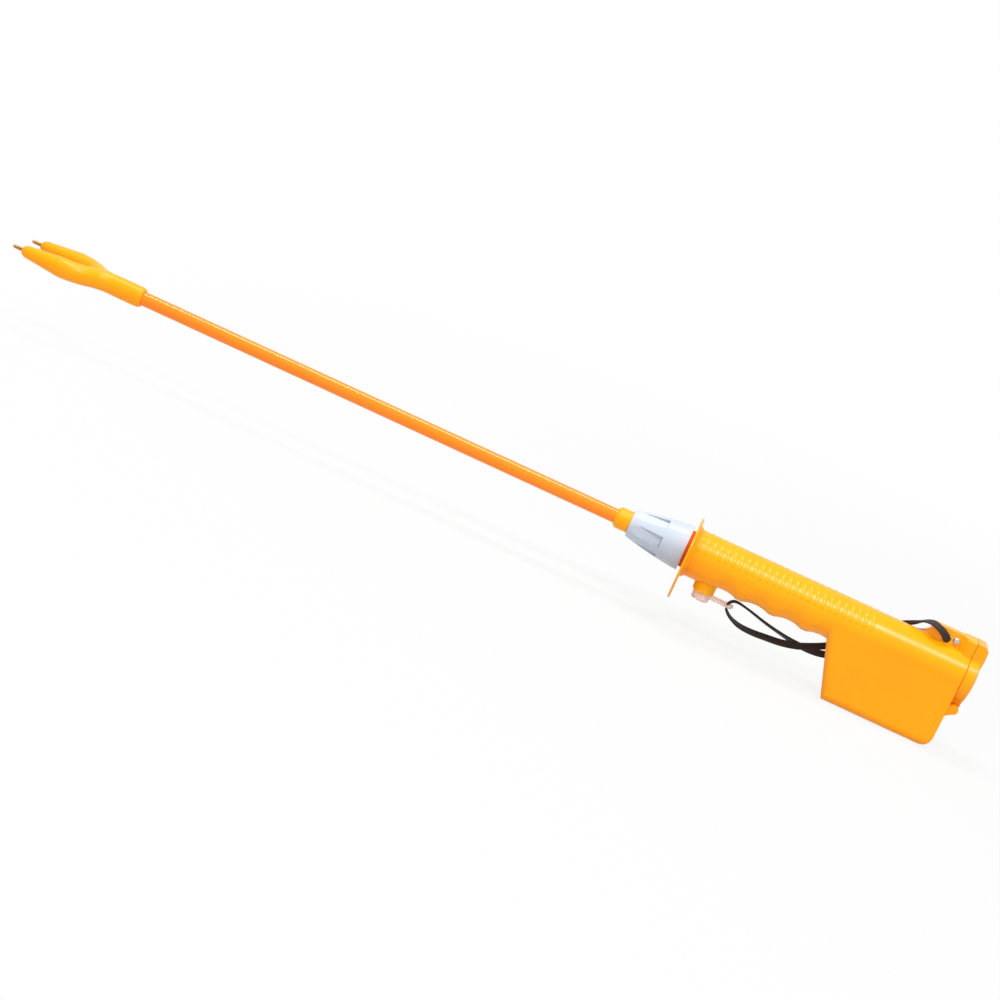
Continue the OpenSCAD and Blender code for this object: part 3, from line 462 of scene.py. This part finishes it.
# %% [markdown]
# ## Plastics of the prod
# The housing, guard, fork and ferrule are dyed yellow, the tube is a deeper orange, the nut is a cool
# light grey and the cap over the trigger is a soft milky white. Each is a pair of close tones, followed by
# the range of its roughness.

# %% Plastics that show
def plastic(name, dark, light, rough, skin=fine_skin, depth=0.00003, edge=0.0, clear=0.0, ior=1.5):
    """A moulded plastic between two tones, with its skin, its gloss, its edges' radius and its clearness."""
    material, tree, shader = start_material(name)
    group = tree.nodes.new("ShaderNodeGroup")
    group.node_tree = moulded_skin
    group.inputs["Skin Scale"].default_value = skin
    tree.links.new(two_tones(tree, group.outputs["Tone"], dark, light), shader.inputs["Base Color"])
    tree.links.new(span(tree, group.outputs["Gloss"], *rough), shader.inputs["Roughness"])
    bump(tree, shader, group.outputs["Height"], strength=0.25, distance=depth, edge=edge)
    shader.inputs["Specular IOR Level"].default_value = 0.22
    shader.inputs["Transmission Weight"].default_value = clear
    shader.inputs["IOR"].default_value = ior
    return material


plastic("grip_yellow", linear(255, 158, 0), linear(255, 163, 0), (0.24, 0.31), edge=0.0008)
head_yellow = plastic("head_yellow", linear(255, 156, 0), linear(255, 162, 0), (0.26, 0.38))
# The collar's tones are lighter than the grip's to make up for the shade it sits in under the grip: painted
# light.
plastic("collar_orange", linear(255, 175, 0), linear(255, 181, 0), (0.26, 0.38), edge=0.0005)
plastic("button_red", linear(206, 60, 22), linear(220, 72, 28), (0.32, 0.45))
plastic("nut_grey", linear(180, 188, 201), linear(188, 196, 208), (0.26, 0.38), edge=0.0004)
plastic("cap_white", linear(255, 232, 224), linear(255, 238, 231), (0.38, 0.5), clear=0.6, ior=1.12)
fork.data.materials.append(head_yellow)
print("fork finish:", head_yellow.name)

# %% Seals, and plastics inside
plastic("black_plastic", linear(24, 24, 26), linear(34, 34, 36), (0.4, 0.55))
plastic("pale_plastic", linear(222, 222, 214), linear(232, 232, 226), (0.4, 0.55))
# The seal's tones are made brighter to make up for the shade in the narrow gap between nut and guard:
# painted light.
plastic("seal_red", linear(255, 96, 10), linear(255, 106, 14), (0.5, 0.65), skin=2400.0)
plastic("gasket_black", linear(26, 26, 26), linear(36, 36, 36), (0.55, 0.7), skin=2400.0)
plastic("cell_wrap", linear(58, 62, 72), linear(68, 72, 84), (0.25, 0.35))
plastic("card_sleeve", linear(198, 188, 160), linear(214, 206, 182), (0.7, 0.85), skin=900.0)
plastic("board_green", linear(24, 92, 50), linear(32, 106, 60), (0.3, 0.45), skin=2600.0)
plastic("capacitor_amber", linear(188, 134, 36), linear(206, 150, 44), (0.2, 0.3))
plastic("lead_red", linear(170, 30, 24), linear(186, 38, 30), (0.4, 0.5))
plastic("ferrite", linear(40, 40, 42), linear(52, 52, 54), (0.6, 0.75), skin=2000.0, depth=0.00008)
print("materials so far:", len(bpy.data.materials))

# %% [markdown]
# ## Shaft tube
# The tube is drawn fibreglass: the fibres run along it, so its tone and gloss come in long thin streaks.
# A noise that is stretched along X makes them. A Mapping node does the stretching. Turned and drawn metal
# is marked in the same way, so both use one helper.

# %% Shaft finish
def stretched_noise(tree, scale, detail, stretch_by):
    """A noise on the piece's own coordinates, stretched along its axes."""
    place = tree.nodes.new("ShaderNodeTexCoord")
    stretch = tree.nodes.new("ShaderNodeMapping")
    stretch.inputs["Scale"].default_value = stretch_by
    noise = tree.nodes.new("ShaderNodeTexNoise")
    noise.inputs["Scale"].default_value = scale
    noise.inputs["Detail"].default_value = detail
    tree.links.new(place.outputs["Object"], stretch.inputs["Vector"])
    tree.links.new(stretch.outputs["Vector"], noise.inputs["Vector"])
    return noise.outputs["Fac"]


def drawn_tube(name, dark, light, rough):
    """A glossy tube with streaks of tone and gloss along X."""
    material, tree, shader = start_material(name)
    streaks = stretched_noise(tree, scale=700, detail=4, stretch_by=(0.02, 1, 1))
    tree.links.new(two_tones(tree, streaks, dark, light), shader.inputs["Base Color"])
    tree.links.new(span(tree, streaks, *rough), shader.inputs["Roughness"])
    bump(tree, shader, streaks, strength=0.01, distance=0.00003)
    shader.inputs["Specular IOR Level"].default_value = 0.36
    return material


shaft_orange = drawn_tube("shaft_orange", linear(252, 128, 0), linear(255, 136, 2), (0.14, 0.18))
print("made", shaft_orange.name)

# %% [markdown]
# ## Metals
# Pins, screws and springs are small, so their detail is fine: turned brass has rings of tool marks and
# plated steel has a soft cloudy gloss.

# %% Metal finishes
def metal(name, dark, light, rough, scale, stretch_by=(1, 1, 1)):
    """A metal between two tones, marked by a noise of the given scale and stretch."""
    material, tree, shader = start_material(name)
    marks = stretched_noise(tree, scale, detail=3, stretch_by=stretch_by)
    tree.links.new(two_tones(tree, marks, dark, light), shader.inputs["Base Color"])
    tree.links.new(span(tree, marks, *rough), shader.inputs["Roughness"])
    bump(tree, shader, marks, strength=0.06, distance=0.00002)
    shader.inputs["Metallic"].default_value = 1.0
    return material


metal("brass", linear(176, 128, 66), linear(204, 158, 92), (0.22, 0.38), 2200, (1, 0.05, 0.05))
steel = metal("steel", linear(186, 186, 190), linear(214, 214, 218), (0.2, 0.35), 900)
metal("aluminium", linear(184, 186, 190), linear(204, 206, 210), (0.3, 0.45), 1200, (0.1, 1, 1))
metal("copper", linear(168, 92, 52), linear(196, 112, 66), (0.25, 0.4), 1800, (0.05, 1, 1))
spring.data.materials.append(steel)
print("spring finish:", steel.name)

# %% [markdown]
# ## Woven band
# Up close the strap is a flat braid: yarns cross in a small twill. The band's own map gives metres across
# and along, so two waves on that map make the crossing yarns, in relief and in tone.

# %% Strap finish
yarn_slant = 0.9


def woven_band(name, dark, light, rough):
    """A braid of two crossing waves on the band's own map."""
    material, tree, shader = start_material(name)
    link = tree.links.new
    place = tree.nodes.new("ShaderNodeUVMap")
    place.uv_map = "weave"
    over = tree.nodes.new("ShaderNodeMath")
    over.operation = "MAXIMUM"
    for k, turn in enumerate((yarn_slant, -yarn_slant)):
        lay_over = tree.nodes.new("ShaderNodeMapping")
        lay_over.inputs["Rotation"].default_value = (0, 0, turn)
        wave = tree.nodes.new("ShaderNodeTexWave")
        wave.inputs["Scale"].default_value = 420
        wave.inputs["Distortion"].default_value = 0.6
        link(place.outputs["UV"], lay_over.inputs["Vector"])
        link(lay_over.outputs["Vector"], wave.inputs["Vector"])
        link(wave.outputs["Fac"], over.inputs[k])
    yarns = over.outputs["Value"]
    link(two_tones(tree, yarns, dark, light), shader.inputs["Base Color"])
    link(span(tree, yarns, *rough), shader.inputs["Roughness"])
    bump(tree, shader, yarns, strength=0.7, distance=0.0003)
    shader.inputs["Sheen Weight"].default_value = 0.05
    return material


strap_black = woven_band("strap_black", linear(12, 8, 7), linear(38, 28, 25), (0.85, 0.62))
strap.data.materials.append(strap_black)
print("strap finish:", strap_black.name)

# %% [markdown]
# ## Dress the CAD pieces
# Each CAD node names a material slot in the record. The finishes above carry the same names, so one loop
# can hand them out.

# %% Hand out the finishes
for part in frame["record"]["subparts"]:
    piece = nodes[part["node"]]
    finish = bpy.data.materials[part["material_slot"]]
    piece.data.materials.clear()
    piece.data.materials.append(finish)

# %% [markdown]
# ## Floor and light
# The floor is a plain pale sheet. The camera, reflections and what is seen through the cap all meet floor
# and world as white, as in the photograph, and near the prod the floor keeps a faint shadow. Other rays
# meet a dimmer world, so that the colours render about as they are written. The plastics' low specular
# level keeps the white backdrop from washing them out. One soft box gives the broad band along the grip,
# another the line along the shaft, and a fill from the front evens the sides without showing in them.

# %% World
def sees_backdrop(tree):
    """1 for the rays that show the backdrop: the camera's, reflections and what is seen through."""
    rays = tree.nodes.new("ShaderNodeLightPath")
    total = rays.outputs["Is Camera Ray"]
    for label in ("Is Glossy Ray", "Is Transmission Ray"):
        either = tree.nodes.new("ShaderNodeMath")
        either.operation = "MAXIMUM"
        tree.links.new(total, either.inputs[0])
        tree.links.new(rays.outputs[label], either.inputs[1])
        total = either.outputs["Value"]
    return total


world_light, world_white = 0.42, 1.0

world = bpy.data.worlds.new("studio")
bpy.context.scene.world = world
world.use_nodes = True
sky = world.node_tree
backdrop = sky.nodes["Background"]
backdrop.inputs["Color"].default_value = (1, 1, 1, 1)
strength = sky.nodes.new("ShaderNodeMix")
strength.inputs["A"].default_value = world_light
strength.inputs["B"].default_value = world_white
sky.links.new(sees_backdrop(sky), strength.inputs["Factor"])
sky.links.new(strength.outputs["Result"], backdrop.inputs["Strength"])
print("world:", world.name)

# %% Floor
floor_half, floor_drop = 6.0, 0.0004
floor_grey = 0.55
near_white = 0.88
fade_start, fade_end = 0.3, 1.0


def fading_white(tree):
    """How white the floor looks: a little less than fully near the prod, so that its shadow stays."""
    place = tree.nodes.new("ShaderNodeTexCoord")
    away = tree.nodes.new("ShaderNodeVectorMath")
    away.operation = "LENGTH"
    fade = tree.nodes.new("ShaderNodeMapRange")
    fade.inputs["From Min"].default_value = fade_start
    fade.inputs["From Max"].default_value = fade_end
    fade.inputs["To Min"].default_value = near_white
    share = tree.nodes.new("ShaderNodeMath")
    share.operation = "MULTIPLY"
    tree.links.new(place.outputs["Object"], away.inputs[0])
    tree.links.new(away.outputs["Value"], fade.inputs["Value"])
    tree.links.new(sees_backdrop(tree), share.inputs[0])
    tree.links.new(fade.outputs["Result"], share.inputs[1])
    return share.outputs["Value"]


def pale_floor(name):
    """A wide sheet just under the prod, white to the rays that show the backdrop."""
    bm = bmesh.new()
    bmesh.ops.create_grid(bm, x_segments=1, y_segments=1, size=floor_half)
    bmesh.ops.translate(bm, verts=bm.verts, vec=(0, 0, -floor_drop))
    obj = into_scene(name, bm)
    material, tree, shader = start_material(name)
    shader.inputs["Roughness"].default_value = 0.9
    shader.inputs["Base Color"].default_value = (floor_grey, floor_grey, floor_grey, 1)
    white = tree.nodes.new("ShaderNodeEmission")
    mix = tree.nodes.new("ShaderNodeMixShader")
    tree.links.new(fading_white(tree), mix.inputs["Fac"])
    tree.links.new(shader.outputs["BSDF"], mix.inputs[1])
    tree.links.new(white.outputs["Emission"], mix.inputs[2])
    tree.links.new(mix.outputs["Shader"], tree.nodes["Material Output"].inputs["Surface"])
    obj.data.materials.append(material)
    return obj


floor = pale_floor("pale_floor")
print("floor:", floor.name)

# %% Lamps
def soft_box(name, place, target, size, watts, shines=True):
    """A soft rectangular lamp. One that doesn't shine lights the object without showing in it."""
    data = bpy.data.lights.new(name, "AREA")
    data.shape = "RECTANGLE"
    data.size, data.size_y = size
    data.energy = watts
    lamp = bpy.data.objects.new(name, data)
    lamp.location = place
    lamp.rotation_euler = (Vector(target) - Vector(place)).to_track_quat("-Z", "Y").to_euler()
    lamp.visible_glossy = shines
    bpy.context.scene.collection.objects.link(lamp)


grip_middle = (-0.06, 0, 0.06)
shaft_lit = (-0.84, 0, 0.06)
soft_box("grip_box", place=(0.08, -0.95, 1.71), target=grip_middle, size=(0.55, 0.42), watts=23)
soft_box("shaft_box", place=(-0.84, 0.1, 1.85), target=shaft_lit, size=(1.1, 0.5), watts=26.5)
soft_box("front_fill", place=(-0.2, -1.9, 0.5), target=grip_middle, size=(2.4, 1.0), watts=10, shines=False)

# %% [markdown]
# ## Hand over
# The last line sets the Standard view transform.

# %% Finish
bpy.context.scene.view_settings.view_transform = "Standard"
